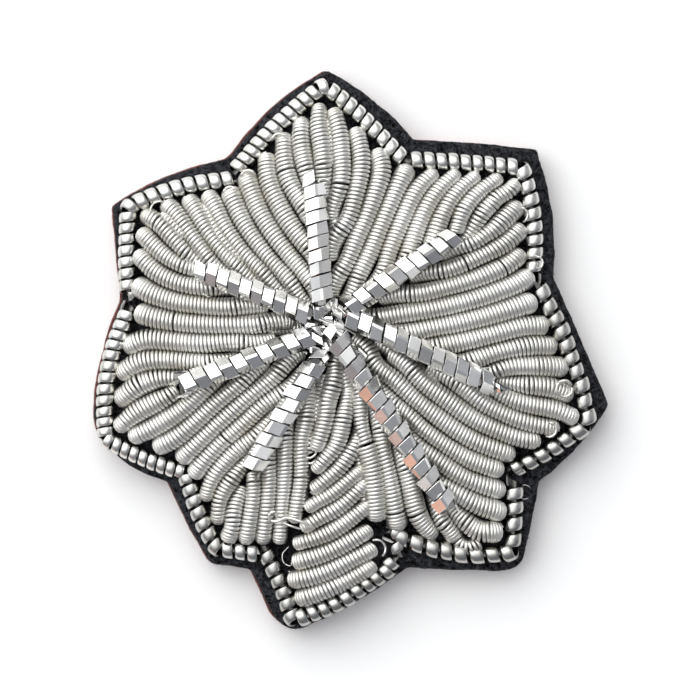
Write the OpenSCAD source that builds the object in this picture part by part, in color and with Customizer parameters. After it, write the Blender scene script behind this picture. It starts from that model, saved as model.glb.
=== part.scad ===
// Bullion leaf insignia: a seven-lobed oak leaf with a short stem, worked in silver purl on black felt.
// All sizes are millimetres. The origin is on the back face, straight under the point where the veins meet.
// +Z comes out of the face, +Y runs to the top lobe and -Y to the stem.

/* [Cloth] */
// Thickness of the reddish cloth under the felt
backing_t = 0.8; // [0.6:0.1:1.2]
// Thickness of the black felt ground
felt_t = 1.2; // [0.8:0.1:2]
// Height of the felt padding where the veins meet
pad_mid = 1.5; // [1:0.1:2]
// Height of the felt padding at its edge
pad_edge = 0.45; // [0.3:0.05:0.6]
// Width of bare ground between the padding and the middle of the border
pad_inset = 1.15; // [1:0.05:1.5]

/* [Wire] */
// Diameter of the smooth purl that fills the lobes
purl_d = 0.9; // [0.7:0.02:0.9]
// Diameter of the smooth purl that fills the stem
stem_purl_d = 0.84; // [0.7:0.02:0.84]
// Width across the corners of the bright check purl of the veins
vein_w = 1.3; // [1.1:0.05:1.3]
// Length of one facet of the veins
facet_l = 0.7; // [0.6:0.05:0.9]
// Diameter of the pearl purl border
border_d = 0.92; // [0.7:0.02:0.92]

/* [Hidden] */

// Small air gap between pieces that lie on each other
gap = 0.04;
felt_z = backing_t + gap;
felt_top = felt_z + felt_t;
// How far the under cloth shows past the felt on the left
backing_shift = [-0.12, -0.03];

// Corners of the felt, clockwise from the notch left of the top lobe:
// x, y, how far the corner is cut back to round it, bow of the side that follows
FELT_CORNERS = [
    [-5.9, 9.55, 0.4, 0.5],
    [-0.15, 14.8, 0.15, 0.35],
    [5.0, 10.65, 0.3, 0.1],
    [12.2, 10.1, 0.2, 0.45],
    [13.2, 2.55, 0.3, 0.05],
    [16.5, -5.0, 0.3, 0.3],
    [12.35, -9.5, 0.4, 0.1],
    [11.25, -14.8, 1.1, 0.05],
    [4.6, -14.55, 0.2, 0.3],
    [-2.1, -18.35, 0.7, 0.1],
    [-3.45, -17.25, 0.4, 0],
    [-4.6, -14.65, 0.3, 0],
    [-7.0, -14.35, 0.3, 0.1],
    [-9.5, -9.5, 0.3, 0.55],
    [-13.9, -6.3, 0.9, 0.4],
    [-12.25, 1.15, 0.3, 0],
    [-12.8, 6.75, 0.2, 0.4]
];

// Middle line of the border, a row for each lobe and the stem:
// name, first notch x, y, tip x, y, last notch x, y, bow of the side going out, bow of the side coming back
BORDERS = [
    ["top", -5.45, 8.8, -0.3, 13.8, 4.25, 9.55, 0.25, 0.15],
    ["upper_right", 4.6, 9.4, 11.3, 8.95, 11.95, 2.6, 0.15, 0.4],
    ["right", 12.2, 2.0, 15.2, -6.0, 11.15, -8.6, 0.45, 0.1],
    ["lower_right", 10.8, -9.4, 10.7, -13.6, 3.7, -12.45, 0.1, 0.6],
    ["stem", 3.65, -14.4, -2.2, -17.6, -3.8, -13.4, 0.4, -0.15],
    ["lower_left", -4.3, -13.7, -6.6, -13.4, -8.35, -9.3, 0, 0.15],
    ["left", -8.7, -8.85, -13.1, -7.0, -11.7, 0.7, 0.1, 0.6],
    ["upper_left", -11.85, 1.45, -11.8, 6.7, -5.7, 8.3, 0.05, 0.3]
];

// Axis of each vein: name, inner end x, y, outer end x, y
VEINS = [
    ["top", -0.4, 1.0, -0.95, 8.4],
    ["upper_right", 1.2, 0.8, 7.4, 4.95],
    ["right", 1.75, -0.05, 9.4, -3.7],
    ["lower_right", 0.5, -1.1, 7.1, -11.2],
    ["lower_left", -0.6, -2.2, -4.85, -9.2],
    ["left", -1.2, -0.95, -8.9, -3.9],
    ["upper_left", -1.3, 0.45, -7.6, 2.95]
];

// Fans of purl, a row for each half lobe. The first strand lies at the notch, the last at the lobe's tip:
// name, count, root of the first x, y, root of the last x, y, tip of the first x, y, tip of the last x, y,
// sideways bend of the first, bend of the last
FANS = [
    ["top_left", 4, -1.25, 2.05, -1.3, 8.75, -4.8, 8.5, -2.0, 11.6, 0.15, 0.05],
    ["top_right", 3, 0.75, 2.8, 0.35, 7.65, 2.85, 10.15, 0.4, 12.35, -0.45, -0.25],
    ["upper_right_above", 6, 1.65, 2.4, 8.9, 5.95, 4.45, 8.9, 10.4, 8.15, -0.05, 0.1],
    ["upper_right_below", 4, 2.9, 0.2, 8.0, 4.6, 11.6, 2.3, 11.15, 6.35, -0.4, -0.05],
    ["right_above", 4, 4.3, -0.65, 9.95, -3.2, 11.7, 0.95, 13.75, -2.5, -0.35, 0],
    ["right_below", 4, 2.5, -2.35, 9.8, -4.0, 10.75, -7.9, 14.0, -5.65, -0.7, -0.2],
    ["lower_right_right", 4, 3.7, -4.95, 8.05, -11.75, 10.05, -8.65, 9.7, -12.3, -0.4, -0.15],
    ["lower_right_left", 3, 1.45, -4.1, 4.55, -8.45, 2.9, -11.55, 6.0, -12.6, 0.1, 0],
    ["stem_upper", 3, 0.55, -3.8, 1.6, -7.75, -0.85, -7.3, -0.65, -9.95, 0.1, 0],
    ["stem_lower", 6, 1.75, -9.25, 2.55, -14.2, -1.25, -11.1, -1.95, -16.2, 0.1, 0.3],
    ["lower_left_right", 4, -1.5, -5.55, -4.6, -9.45, -1.9, -11.9, -4.85, -13.0, 0, 0],
    ["lower_left_left", 3, -2.65, -4.2, -5.25, -9.5, -7.7, -8.95, -6.75, -11.75, -0.2, -0.2],
    ["left_below", 4, -2.75, -3.0, -9.35, -4.4, -8.75, -8.15, -12.15, -6.05, -0.05, 0.05],
    ["left_above", 3, -4.95, -1.4, -8.9, -3.45, -11.85, -1.15, -12.45, -4.35, 0.05, -0.3],
    ["upper_left_below", 4, -3.85, -0.2, -8.4, 3.3, -10.85, 0.6, -10.95, 4.8, 0.55, 0.15],
    ["upper_left_above", 5, -2.25, 1.9, -8.45, 4.15, -5.9, 7.65, -10.35, 6.45, 0.05, -0.05]
];

// Single strands that close the tips of the lobes: name of the fan they go with, root x, y, tip x, y
SINGLES = [
    ["top_right", -0.4, 9.0, -0.8, 12.45],
    ["right_below", 11.6, -3.9, 13.95, -4.1],
    ["lower_right_right", 6.75, -11.75, 7.0, -12.85],
    ["lower_left_right", -5.72, -11.45, -5.85, -12.8]
];

// The rounded ends of a length of purl: where the end has its share of the full radius, and where it is full
DOME_START = 0.12;
DOME_SHARE = 0.72;
DOME_FULL = 0.42;
PURL_SIDES = 8;
VEIN_SIDES = 4;

function unit(v) = v / norm(v);
function left_of(v) = [-v.y, v.x];
function mix(a, b, t) = a + (b - a) * t;
function row_of(table, name) = [for (row = table) if (row[0] == name) row][0];

// Point on a bowed line from a to b: bow is how far its middle stands out to the left
function bowed(a, b, bow, t) = mix(a, b, t) + left_of(unit(b - a)) * bow * 4 * t * (1 - t);

// Outline of the ground: each side bows out and each corner is rounded by a short curve
SIDE_STEPS = 6;
CORNER_STEPS = 4;
function corner_at(i) = [FELT_CORNERS[i].x, FELT_CORNERS[i].y];
function outline_side(i) =
    let (
        j = (i + 1) % len(FELT_CORNERS),
        a = corner_at(i),
        b = corner_at(j),
        length = norm(b - a),
        first = FELT_CORNERS[i][2] / length,
        last = 1 - FELT_CORNERS[j][2] / length,
        k = (j + 1) % len(FELT_CORNERS),
        next_start = FELT_CORNERS[j][2] / norm(corner_at(k) - b),
        before = bowed(a, b, FELT_CORNERS[i][3], last),
        after = bowed(b, corner_at(k), FELT_CORNERS[j][3], next_start)
    )
    concat(
        [for (s = [0 : SIDE_STEPS]) bowed(a, b, FELT_CORNERS[i][3], mix(first, last, s / SIDE_STEPS))],
        [for (s = [1 : CORNER_STEPS - 1])
            let (t = s / CORNER_STEPS)
            mix(mix(before, b, t), mix(b, after, t), t)]
    );
function ground_outline() = [for (i = [0 : len(FELT_CORNERS) - 1]) each outline_side(i)];

module ground(thickness) {
    linear_extrude(thickness) polygon(ground_outline());
}

// Corners of the border's middle line, clockwise: first notch, tip and last notch of each lobe
BORDER_RING = [for (row = BORDERS) each [[row[1], row[2]], [row[3], row[4]], [row[5], row[6]]]];
RING_N = len(BORDER_RING);

// Corners of the padding's edge: the border's corners moved in square to both sides that meet there
function inward(a, b) = -left_of(unit(b - a));
PAD_RING = [
    for (i = [0 : RING_N - 1])
        let (
            p = BORDER_RING[i],
            before = inward(BORDER_RING[(i + RING_N - 1) % RING_N], p),
            after = inward(p, BORDER_RING[(i + 1) % RING_N])
        )
        p + (before + after) * pad_inset / (1 + before * after)
];

// Distance from the origin to the padding's edge in the direction of the unit vector u
function pad_reach(u) = [
    for (i = [0 : RING_N - 1])
        let (p = PAD_RING[i], q = PAD_RING[(i + 1) % RING_N])
        if (cross(p, u) <= 0 && cross(u, q) < 0) cross(p, q - p) / cross(u, q - p)
][0];

// Height of the padding's top above the felt at a share f of the way out to its edge
pad_curve = 2.2;
function pad_height(f) = pad_edge + (pad_mid - pad_edge) * (1 - pow(f, pad_curve));
function smooth(t) = let (c = min(1, max(0, t))) c * c * (3 - 2 * c);

// Height above the felt of the surface that the purl lies on. The purl keeps to the padding's height
// a little past its edge, then falls to the felt.
ledge = 0.2;
fall = 0.9;
function lie_height(p) =
    let (reach = pad_reach(unit(p)), r = norm(p))
    r <= reach ? pad_height(r / reach) : pad_edge * (1 - smooth((r - reach - ledge) / fall));

// The padding as a domed solid: rings of points at shares of the way out to its edge
PAD_SHARES = [0.3, 0.6, 0.85, 1];
PAD_PER_SIDE = 2;
PAD_DIRS = [
    for (i = [0 : RING_N - 1], s = [0 : PAD_PER_SIDE - 1])
        unit(mix(PAD_RING[i], PAD_RING[(i + 1) % RING_N], s / PAD_PER_SIDE))
];

// Faces of a closed skin over rings of n points each, with one point before the rings and one after them.
// The points of a ring run anticlockwise as seen from the last point.
function ring_faces(rings, n, at) =
    let (first = at, last = at + 1 + rings * n)
    concat(
        [for (k = [0 : n - 1]) [first, at + 1 + (k + 1) % n, at + 1 + k]],
        [for (j = [0 : rings - 2], k = [0 : n - 1], half = [0, 1])
            let (
                a = at + 1 + j * n + k,
                b = at + 1 + j * n + (k + 1) % n,
                c = a + n,
                d = b + n
            )
            half == 0 ? [a, b, d] : [a, d, c]],
        [for (k = [0 : n - 1])
            [at + 1 + (rings - 1) * n + k, at + 1 + (rings - 1) * n + (k + 1) % n, last]]
    );

module padding() {
    z = felt_top + gap;
    points = concat(
        [[0, 0, z]],
        [for (u = PAD_DIRS) [u.x, u.y, 0] * pad_reach(u) + [0, 0, z]],
        [for (i = [len(PAD_SHARES) - 1 : -1 : 0], u = PAD_DIRS)
            [u.x, u.y, 0] * pad_reach(u) * PAD_SHARES[i] + [0, 0, z + pad_height(PAD_SHARES[i])]],
        [[0, 0, z + pad_height(0)]]
    );
    color([0.72, 0.71, 0.68])
        polyhedron(points, [for (f = ring_faces(len(PAD_SHARES) + 1, len(PAD_DIRS), 0)) [f[2], f[1], f[0]]]);
}

// Cross-sections along a path: n points on a circle or a square round each point of the path
function section(path, j, radius, n, turn) =
    let (
        a = path[max(0, j - 1)],
        b = path[min(len(path) - 1, j + 1)],
        ahead = unit(b - a),
        side = unit(cross([0, 0, 1], ahead)),
        up = cross(ahead, side)
    )
    [for (k = [0 : n - 1])
        let (angle = 360 * k / n + turn)
        path[j] + (side * cos(angle) + up * sin(angle)) * radius];

// Points of one tube: its first end, a ring for each inner point of the path, its last end
function tube_points(path, radii, n, turns) = concat(
    [path[0]],
    [for (j = [1 : len(path) - 2]) each section(path, j, radii[j], n, turns[j])],
    [path[len(path) - 1]]
);

// Several tubes as one polyhedron. Each tube is [path, radii, turns].
module tubes(list, n) {
    sizes = [for (t = list) 2 + (len(t[0]) - 2) * n];
    starts = [for (i = 0, at = 0; i < len(list); at = at + sizes[i], i = i + 1) at];
    polyhedron(
        [for (t = list) each tube_points(t[0], t[1], n, t[2])],
        [for (i = [0 : len(list) - 1]) each ring_faces(len(list[i][0]) - 2, n, starts[i])]
    );
}

// Shares along a strand of this length at which it has a ring, with its ends
function strand_shares(length, inner) = concat(
    [0, DOME_START / length, DOME_FULL / length],
    [for (s = [1 : inner]) mix(DOME_FULL / length, 1 - DOME_FULL / length, s / (inner + 1))],
    [1 - DOME_FULL / length, 1 - DOME_START / length, 1]
);
function strand_radii(radius, inner) = concat(
    [0, radius * DOME_SHARE],
    [for (s = [0 : inner + 1]) radius],
    [radius * DOME_SHARE, 0]
);

// One strand of smooth purl from its root to its tip, laid over the padding
strand_lift = 0.12;
function strand(root, tip, bend, radius, inner) =
    let (
        shares = strand_shares(norm(tip - root), inner),
        path = [for (t = shares)
            let (p = bowed(root, tip, bend, t))
            [p.x, p.y, felt_top + strand_lift + lie_height(p) + radius]]
    )
    [path, strand_radii(radius, inner), [for (t = shares) 180 / PURL_SIDES]];

// The strands of one half lobe, with the single one at its tip if it has one.
// Inner is the number of rings between the rounded ends.
module fill(name, diameter, inner) {
    fan = row_of(FANS, name);
    n = fan[1];
    side_by_side = [for (i = [0 : n - 1])
        let (t = i / (n - 1))
        strand(
            mix([fan[2], fan[3]], [fan[4], fan[5]], t),
            mix([fan[6], fan[7]], [fan[8], fan[9]], t),
            mix(fan[10], fan[11], t),
            diameter / 2,
            inner
        )];
    at_tip = [for (s = SINGLES) if (s[0] == name) strand([s[1], s[2]], [s[3], s[4]], 0, diameter / 2, 1)];
    color([0.76, 0.76, 0.75]) tubes(concat(side_by_side, at_tip), PURL_SIDES);
}

// A length of pearl purl along one side of a lobe, held back a little from the notch and the tip
border_hold = 0.42;
border_rings = 3;
function border_length(a, b, bow) =
    let (
        radius = border_d / 2,
        length = norm(b - a),
        shares = strand_shares(length - 2 * border_hold, border_rings),
        path = [for (t = shares)
            let (p = bowed(a, b, bow, mix(border_hold / length, 1 - border_hold / length, t)))
            [p.x, p.y, felt_top + gap + radius]]
    )
    [path, strand_radii(radius, border_rings), [for (t = shares) 180 / PURL_SIDES]];

module border(name) {
    edge = row_of(BORDERS, name);
    first = [edge[1], edge[2]];
    tip = [edge[3], edge[4]];
    last = [edge[5], edge[6]];
    color([0.7, 0.7, 0.7])
        tubes([border_length(first, tip, edge[7]), border_length(tip, last, edge[8])], PURL_SIDES);
}

// A vein of bright check purl: a square bar whose facets turn by an eighth from one to the next.
// It lies over the inner ends of the strands at both sides of it.
vein_lift = 0.84;
vein_end = 0.15;
module vein(name) {
    axis = row_of(VEINS, name);
    a = [axis[1], axis[2]];
    b = [axis[3], axis[4]];
    length = norm(b - a);
    facets = max(2, round((length - 2 * vein_end) / facet_l));
    shares = concat([0], [for (s = [0 : facets]) mix(vein_end, length - vein_end, s / facets) / length], [1]);
    path = [for (t = shares)
        let (p = mix(a, b, t))
        [p.x, p.y, felt_top + vein_lift + lie_height(p) + vein_w / 2]];
    radii = [for (t = shares) t == 0 || t == 1 ? 0 : vein_w / 2];
    turns = [for (j = [0 : len(shares) - 1]) 45 * (j % 2)];
    color([0.86, 0.86, 0.87]) tubes([[path, radii, turns]], VEIN_SIDES);
}

module backing_cloth() {
    color([0.36, 0.13, 0.11]) translate([backing_shift.x, backing_shift.y, 0]) ground(backing_t);
}
module felt_ground() {
    color([0.07, 0.07, 0.09]) translate([0, 0, felt_z]) ground(felt_t);
}
module border_top() { border("top"); }
module border_upper_right() { border("upper_right"); }
module border_right() { border("right"); }
module border_lower_right() { border("lower_right"); }
module border_stem() { border("stem"); }
module border_lower_left() { border("lower_left"); }
module border_left() { border("left"); }
module border_upper_left() { border("upper_left"); }
module fill_top_left() { fill("top_left", purl_d, 3); }
module fill_top_right() { fill("top_right", purl_d, 3); }
module fill_upper_right_above() { fill("upper_right_above", purl_d, 3); }
module fill_upper_right_below() { fill("upper_right_below", purl_d, 3); }
module fill_right_above() { fill("right_above", purl_d, 3); }
module fill_right_below() { fill("right_below", purl_d, 3); }
module fill_lower_right_right() { fill("lower_right_right", purl_d, 3); }
module fill_lower_right_left() { fill("lower_right_left", purl_d, 3); }
module fill_stem_upper() { fill("stem_upper", stem_purl_d, 2); }
module fill_stem_lower() { fill("stem_lower", stem_purl_d, 2); }
module fill_lower_left_right() { fill("lower_left_right", purl_d, 3); }
module fill_lower_left_left() { fill("lower_left_left", purl_d, 3); }
module fill_left_below() { fill("left_below", purl_d, 3); }
module fill_left_above() { fill("left_above", purl_d, 3); }
module fill_upper_left_below() { fill("upper_left_below", purl_d, 3); }
module fill_upper_left_above() { fill("upper_left_above", purl_d, 3); }
module vein_top() { vein("top"); }
module vein_upper_right() { vein("upper_right"); }
module vein_right() { vein("right"); }
module vein_lower_right() { vein("lower_right"); }
module vein_lower_left() { vein("lower_left"); }
module vein_left() { vein("left"); }
module vein_upper_left() { vein("upper_left"); }

backing_cloth();
felt_ground();
padding();
border_top();
border_upper_right();
border_right();
border_lower_right();
border_stem();
border_lower_left();
border_left();
border_upper_left();
fill_top_left();
fill_top_right();
fill_upper_right_above();
fill_upper_right_below();
fill_right_above();
fill_right_below();
fill_lower_right_right();
fill_lower_right_left();
fill_stem_upper();
fill_stem_lower();
fill_lower_left_right();
fill_lower_left_left();
fill_left_below();
fill_left_above();
fill_upper_left_below();
fill_upper_left_above();
vein_top();
vein_upper_right();
vein_right();
vein_lower_right();
vein_lower_left();
vein_left();
vein_upper_left();
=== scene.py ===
import math
import random

import bmesh
import bpy
from mathutils import Matrix, Vector, noise
from mathutils.kdtree import KDTree


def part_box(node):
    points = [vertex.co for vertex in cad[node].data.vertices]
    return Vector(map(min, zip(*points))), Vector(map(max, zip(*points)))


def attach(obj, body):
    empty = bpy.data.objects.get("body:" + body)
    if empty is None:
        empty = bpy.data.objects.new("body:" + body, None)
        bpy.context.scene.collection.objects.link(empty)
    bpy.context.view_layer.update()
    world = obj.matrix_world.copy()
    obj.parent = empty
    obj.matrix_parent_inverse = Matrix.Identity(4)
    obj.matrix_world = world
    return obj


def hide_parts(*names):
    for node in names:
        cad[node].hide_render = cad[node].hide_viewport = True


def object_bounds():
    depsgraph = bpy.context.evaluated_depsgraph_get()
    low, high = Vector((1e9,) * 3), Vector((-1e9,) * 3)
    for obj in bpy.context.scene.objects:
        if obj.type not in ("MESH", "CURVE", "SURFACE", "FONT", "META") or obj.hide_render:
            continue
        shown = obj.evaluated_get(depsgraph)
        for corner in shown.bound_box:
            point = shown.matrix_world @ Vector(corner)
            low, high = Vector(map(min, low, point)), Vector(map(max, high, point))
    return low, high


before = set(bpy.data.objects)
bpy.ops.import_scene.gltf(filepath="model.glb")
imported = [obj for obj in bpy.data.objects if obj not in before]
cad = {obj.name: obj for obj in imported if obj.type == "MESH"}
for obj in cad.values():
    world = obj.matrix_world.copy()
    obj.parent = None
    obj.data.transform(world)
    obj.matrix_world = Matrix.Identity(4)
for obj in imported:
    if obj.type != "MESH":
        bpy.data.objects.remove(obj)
cad_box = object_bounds()
mm = 0.001


# Table, light and camera
# The badge lies on its back on a plain pale table. A large soft lamp hangs above it at the upper left, where
# the room is lightest too, a weaker one stands at the right and a small warm one low at the lower left. A
# long lens looks straight down at the badge.
def new_piece(name, verts, faces, material):
    """A piece in the scene from its points and faces, all of one material."""
    mesh = bpy.data.meshes.new(name)
    mesh.from_pydata(verts, [], faces)
    mesh.materials.append(material)
    piece = bpy.data.objects.new(name, mesh)
    bpy.context.scene.collection.objects.link(piece)
    return piece


def new_material(name):
    """A material, with its node tree and the shader in it."""
    material = bpy.data.materials.new(name)
    material.use_nodes = True
    return material, material.node_tree, material.node_tree.nodes["Principled BSDF"]


paper_white, _, paper = new_material("paper_white")
paper.inputs["Base Color"].default_value = (0.94, 0.94, 0.94, 1)
paper.inputs["Roughness"].default_value = 0.9
side = 0.6
table = new_piece("table", [(-side, -side, 0), (side, -side, 0), (side, side, 0), (-side, side, 0)],
                  [(0, 1, 2, 3)], paper_white)
table.location.z = -0.02 * mm


def soft_lamp(name, place, size, power, warmth=(1, 1, 1)):
    """A square or oblong lamp at a place, turned to the badge."""
    lamp = bpy.data.lights.new(name, "AREA")
    lamp.shape = "RECTANGLE"
    lamp.size, lamp.size_y = size
    lamp.energy = power
    lamp.color = warmth
    holder = bpy.data.objects.new(name, lamp)
    holder.location = place
    holder.rotation_euler = (-Vector(place)).to_track_quat("-Z", "Y").to_euler()
    bpy.context.scene.collection.objects.link(holder)


soft_lamp("lamp_above", (-0.16, 0.20, 0.34), (0.40, 0.40), 0.7)
soft_lamp("lamp_right", (0.40, 0.10, 0.16), (0.30, 0.30), 0.08, (1, 0.98, 0.96))
soft_lamp("lamp_warm", (-0.20, -0.30, 0.06), (0.14, 0.06), 0.021, (1, 0.36, 0.13))


def shades(tree, steps):
    """A colour ramp from its steps in rising order, each with its place on the ramp and its colour."""
    ramp = tree.nodes.new("ShaderNodeValToRGB")
    marks = ramp.color_ramp.elements
    marks[0].position = steps[0][0]
    marks[-1].position = steps[-1][0]
    for place, _ in steps[1:-1]:
        marks.new(place)
    for mark, (_, colour) in zip(marks, steps):
        mark.color = (*colour, 1)
    return ramp


room = bpy.data.worlds.new("room")
room.use_nodes = True
tree = room.node_tree
way = tree.nodes.new("ShaderNodeTexCoord")
toward_window = tree.nodes.new("ShaderNodeVectorMath")
toward_window.operation = "DOT_PRODUCT"
toward_window.inputs[1].default_value = (-0.42, 0.50, 0.757)
tree.links.new(way.outputs["Generated"], toward_window.inputs[0])
walls = shades(tree, ((0.0, (0.135, 0.139, 0.153)), (0.36, (0.2, 0.205, 0.218)), (0.54, (0.34, 0.346, 0.36)),
                      (0.68, (0.66, 0.67, 0.68)), (0.84, (1, 1, 0.99))))
tree.links.new(toward_window.outputs["Value"], walls.inputs["Fac"])
tree.links.new(walls.outputs["Color"], tree.nodes["Background"].inputs["Color"])
tree.nodes["Background"].inputs["Strength"].default_value = 1.72
bpy.context.scene.world = room
bpy.context.scene.view_settings.view_transform = "Standard"

lens = bpy.data.cameras.new("camera")
lens.lens = 260
lens.clip_start = 0.01
lens.clip_end = 4
camera = bpy.data.objects.new("camera", lens)
middle = (Vector(cad_box[0]) + Vector(cad_box[1])) / 2
camera_height = 0.3
camera.location = (middle.x, middle.y, camera_height)
bpy.context.scene.collection.objects.link(camera)
bpy.context.scene.camera = camera


# Under cloth
# A reddish-brown cloth glued under the felt when the badge is finished. It is cut and glued a hair further
# out at the left and the top, where its edge shows along the lobes.
def cad_mesh(node):
    """The mesh of a CAD node, with the corners that its faces share made one."""
    touching = 0.002 * mm
    work = bmesh.new()
    work.from_mesh(cad[node].data)
    bmesh.ops.remove_doubles(work, verts=work.verts, dist=touching)
    work.verts.index_update()
    return work


def outline_of(node):
    """The outline of a cut cloth in the CAD model, anticlockwise, as seen from above."""
    level, facing_up = 0.01 * mm, 0.5
    work = cad_mesh(node)
    top = max(v.co.z for v in work.verts)
    after = {}
    for face in work.faces:
        if face.normal.z > facing_up and all(abs(v.co.z - top) < level for v in face.verts):
            for loop in face.loops:
                if any(beside.normal.z < facing_up for beside in loop.edge.link_faces):
                    after[loop.vert] = loop.link_loop_next.vert
    start = here = next(iter(after))
    line = []
    while True:
        line.append(Vector((here.co.x, here.co.y)))
        here = after[here]
        if here == start:
            break
    work.free()
    return line


def even_steps(line, step):
    """A closed line of 2-D points in equal steps."""
    out = []
    carry = 0.0
    for a, b in zip(line, line[1:] + line[:1]):
        length = (b - a).length
        at = carry
        while at < length:
            out.append(a.lerp(b, at / length))
            at += step
        carry = at - length
    return out


def outward(line):
    """The outward direction at each point of a closed anticlockwise line."""
    along = [after - before for before, after in zip(line[-1:] + line[:-1], line[1:] + line[:1])]
    return [Vector((way.y, -way.x)).normalized() for way in along]


def add_sweep(verts, faces, rings):
    """A closed skin over rings of points, with both ends closed."""
    start, n = len(verts), len(rings[0])
    for ring in rings:
        verts.extend(ring)
    for r in range(len(rings) - 1):
        a, b = start + r * n, start + (r + 1) * n
        for i in range(n):
            j = (i + 1) % n
            faces.append((a + i, a + j, b + j, b + i))
    faces.append(tuple(range(start + n - 1, start - 1, -1)))
    end = start + (len(rings) - 1) * n
    faces.append(tuple(range(end, end + n)))


def cut_cloth(name, node, material, rim, ragged, seed):
    """A flat cloth with a ragged cut edge and a softened rim. rim gives each ring of the edge from the bottom
    to the top: its share of the height and how far in it lies, in mm. ragged is how uneven the cut is."""
    broad_waves, fine_waves, fine_share = 900, 4200, 0.6
    low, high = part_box(node)
    line = even_steps(outline_of(node), 0.22 * mm)
    out = outward(line)
    rings = []
    for share, inset in rim:
        z = low[2] + (high[2] - low[2]) * share
        ring = []
        for p, d in zip(line, out):
            broad = noise.noise(Vector((p.x, p.y, z)) * broad_waves + Vector((seed, 0, 0)))
            fine = noise.noise(Vector((p.x, p.y, z * 2)) * fine_waves + Vector((seed, 5, 0))) * fine_share
            place = p + d * ((broad + fine) * ragged - inset) * mm
            ring.append((place.x, place.y, z))
        rings.append(ring)
    verts, faces = [], []
    add_sweep(verts, faces, rings)
    piece = new_piece(name, verts, faces, material)
    work = bmesh.new()
    work.from_mesh(piece.data)
    bmesh.ops.triangulate(work, faces=[face for face in work.faces if len(face.verts) > 4])
    work.to_mesh(piece.data)
    work.free()
    return piece


def hair(verts, faces, points, radius, sides=3, thinning=0.55):
    """A thin round thread through the points, thinner at its far end by the share given in thinning."""
    rings = []
    last = len(points) - 1
    for k, p in enumerate(points):
        along = (points[min(last, k + 1)] - points[max(0, k - 1)]).normalized()
        side = along.orthogonal().normalized()
        up = along.cross(side)
        r = radius * (1 - thinning * k / last)
        rings.append([p + (side * math.cos(a) + up * math.sin(a)) * r
                      for a in (2 * math.pi * i / sides for i in range(sides))])
    add_sweep(verts, faces, rings)


def any_way(pick, lowest, highest):
    """A random direction with its height between two values."""
    return Vector((pick.uniform(-1, 1), pick.uniform(-1, 1), pick.uniform(lowest, highest)))


def fuzz(name, node, material, count, lengths, radii, on_top, reach_in, seed):
    """Short fibres of a felt or cloth, in mm. on_top is the share of them that stand on its face, up to
    reach_in from the edge and shorter toward it. The others stand out of the cut."""
    pick = random.Random(seed)
    bends, curling = 4, 0.35
    rim_share, growth, cut_share = 0.3, 0.8, 0.25
    low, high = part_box(node)
    line = even_steps(outline_of(node), 0.1 * mm)
    out = outward(line)
    verts, faces = [], []
    for _ in range(count):
        i = pick.randrange(len(line))
        d = Vector((out[i].x, out[i].y, 0))
        if pick.random() < on_top:
            inside = pick.uniform(0.05, reach_in)
            root = Vector((line[i].x, line[i].y, high[2])) - d * inside * mm
            head = any_way(pick, 0.05, 0.5)
            grown = min(1, rim_share + inside / growth)
        else:
            root = Vector((line[i].x, line[i].y, pick.uniform(low[2], high[2]))) - d * 0.03 * mm
            head = d * pick.uniform(0.1, 0.8) + any_way(pick, -0.3, 0.5)
            grown = cut_share
        head.normalize()
        curl = any_way(pick, -0.5, 0.3)
        length = pick.uniform(*lengths) * grown * mm
        points = [root]
        for _ in range(bends):
            points.append(points[-1] + head * length / bends)
            head = (head + curl * curling).normalized()
        for p in points:
            p.z = max(p.z, low[2] + 0.02 * mm)
        hair(verts, faces, points, pick.uniform(*radii) * mm)
    return new_piece(name, verts, faces, material)


def texture(tree, kind, scale):
    """A texture that is fixed to the piece, with so many grains to a metre."""
    place = tree.nodes.new("ShaderNodeTexCoord")
    grain = tree.nodes.new(kind)
    grain.inputs["Scale"].default_value = scale
    tree.links.new(place.outputs["Object"], grain.inputs["Vector"])
    return grain


def raise_grain(tree, height, strength, depth):
    """Lets the grain stand up from the surface, by so many mm."""
    bump = tree.nodes.new("ShaderNodeBump")
    bump.inputs["Strength"].default_value = strength
    bump.inputs["Distance"].default_value = depth * mm
    tree.links.new(height, bump.inputs["Height"])
    tree.links.new(bump.outputs["Normal"], tree.nodes["Principled BSDF"].inputs["Normal"])


def cloth_material(name, dark, light, weave, sheen):
    """Matt fibrous cloth: colour in fine flecks, a soft bump of the same grain and a little sheen."""
    material, tree, skin = new_material(name)
    fleck = texture(tree, "ShaderNodeTexNoise", weave)
    fleck.inputs["Detail"].default_value = 6
    fleck.inputs["Roughness"].default_value = 0.75
    colour = shades(tree, ((0.42, dark), (0.74, light)))
    tree.links.new(fleck.outputs["Fac"], colour.inputs["Fac"])
    tree.links.new(colour.outputs["Color"], skin.inputs["Base Color"])
    fibre = texture(tree, "ShaderNodeTexVoronoi", weave * 1.7)
    fibre.feature = "DISTANCE_TO_EDGE"
    height = tree.nodes.new("ShaderNodeMath")
    height.operation = "ADD"
    tree.links.new(fleck.outputs["Fac"], height.inputs[0])
    tree.links.new(fibre.outputs["Distance"], height.inputs[1])
    raise_grain(tree, height.outputs["Value"], 0.9, 0.06)
    skin.inputs["Roughness"].default_value = 0.95
    skin.inputs["Specular IOR Level"].default_value = 0.1
    skin.inputs["Sheen Weight"].default_value = sheen
    skin.inputs["Sheen Roughness"].default_value = 0.6
    return material


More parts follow.
